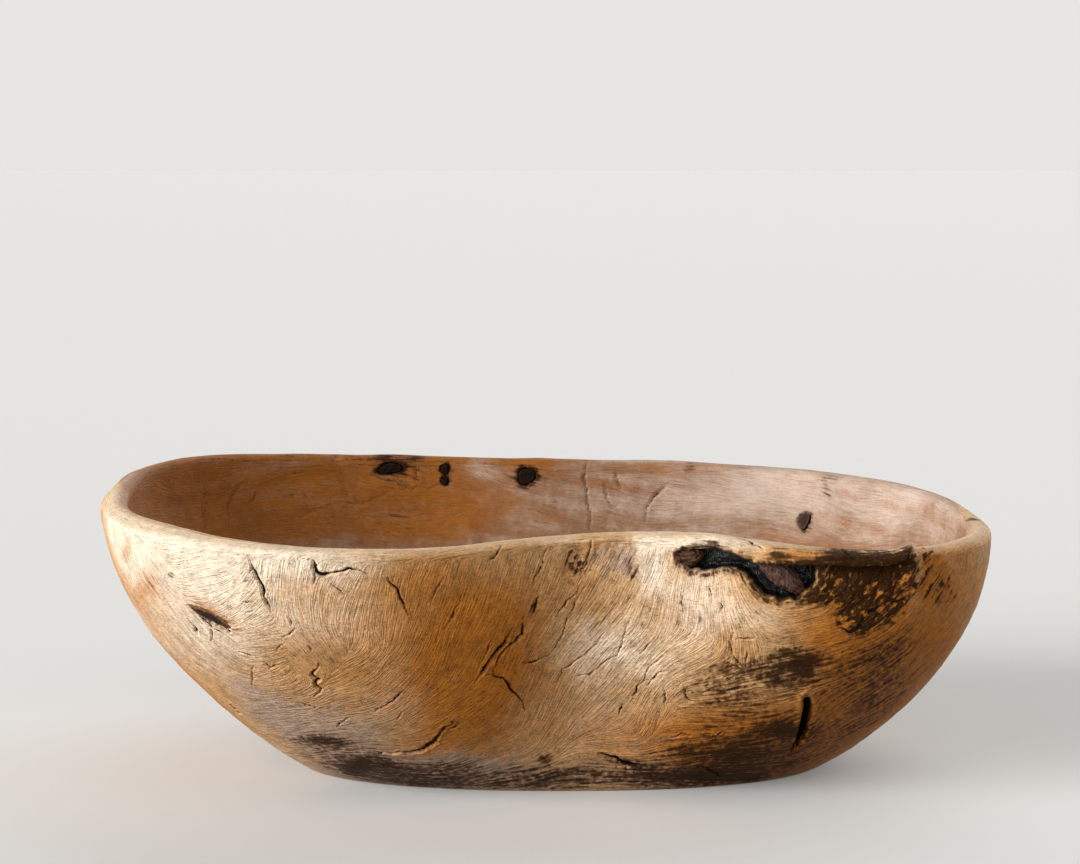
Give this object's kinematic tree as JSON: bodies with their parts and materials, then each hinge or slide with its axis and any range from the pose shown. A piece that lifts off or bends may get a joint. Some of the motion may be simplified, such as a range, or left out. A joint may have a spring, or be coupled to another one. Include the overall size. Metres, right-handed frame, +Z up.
{
  "type": "root wood bowl",
  "caption": "Kidney-shaped bowl carved from a lump of root, waisted at the front, with an open bark pocket under the lip, loose bark and dead knots in blind sockets, and a flat foot.",
  "frame": {"origin": "centre of the bowl's bounding box seen from above, on the surface that it stands on", "axes": "+X along the bowl to the end with the lower rim, -Y to the waisted front, +Z up"},
  "size_m": [0.452, 0.3044, 0.1445],
  "materials": {
    "root_wood": "weathered root wood, hand carved, lightly waxed",
    "bark": "dry fibrous bark",
    "dead_knot": "black dead knot wood",
    "grey_knot": "grey weathered end grain"
  },
  "bodies": {
    "root": {"bowl_body": "root_wood", "pocket_bark_right": "bark", "pocket_bark_left": "bark", "left_seam_bark": "bark", "rear_knot": "dead_knot", "rear_bark_streak": "bark", "rear_pin_knot_upper": "dead_knot", "rear_pin_knot_lower": "dead_knot", "right_wall_knot": "dead_knot", "rim_end_knot": "grey_knot"}
  },
  "joints": []
}
